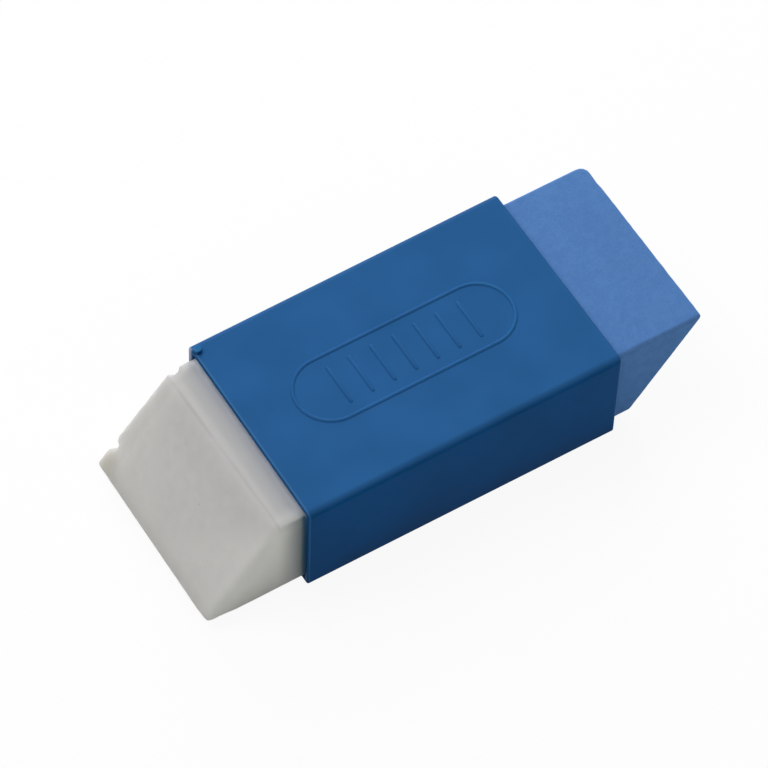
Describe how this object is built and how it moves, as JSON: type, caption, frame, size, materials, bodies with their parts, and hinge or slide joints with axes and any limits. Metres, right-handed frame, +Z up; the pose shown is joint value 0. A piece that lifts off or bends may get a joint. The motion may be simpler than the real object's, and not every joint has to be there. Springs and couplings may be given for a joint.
{
  "type": "eraser",
  "caption": "Slant-ended block eraser, white vinyl bonded to blue rubber, held in a blue moulded sleeve that slides along it.",
  "frame": {"origin": "under the middle of the bar's length and width, on the underside of the sleeve", "axes": "+X along the bar from the white end to the blue end, +Y across it to the back, +Z up out of the sleeve's top"},
  "size_m": [0.0592, 0.0244, 0.0137],
  "materials": {
    "sleeve_plastic": "moulded polypropylene, satin",
    "white_vinyl": "soft white vinyl, matt and a little translucent",
    "blue_rubber": "firm blue rubber with fine grit, matt"
  },
  "bodies": {
    "sleeve": {"sleeve": "sleeve_plastic"},
    "bar": {"white_block": "white_vinyl", "blue_block": "blue_rubber"}
  },
  "joints": [
    {"name": "bar_slide", "type": "slide", "parent": "sleeve", "child": "bar", "axis": [1, 0, 0], "range_m": [-0.0105, 0.0115]}
  ]
}
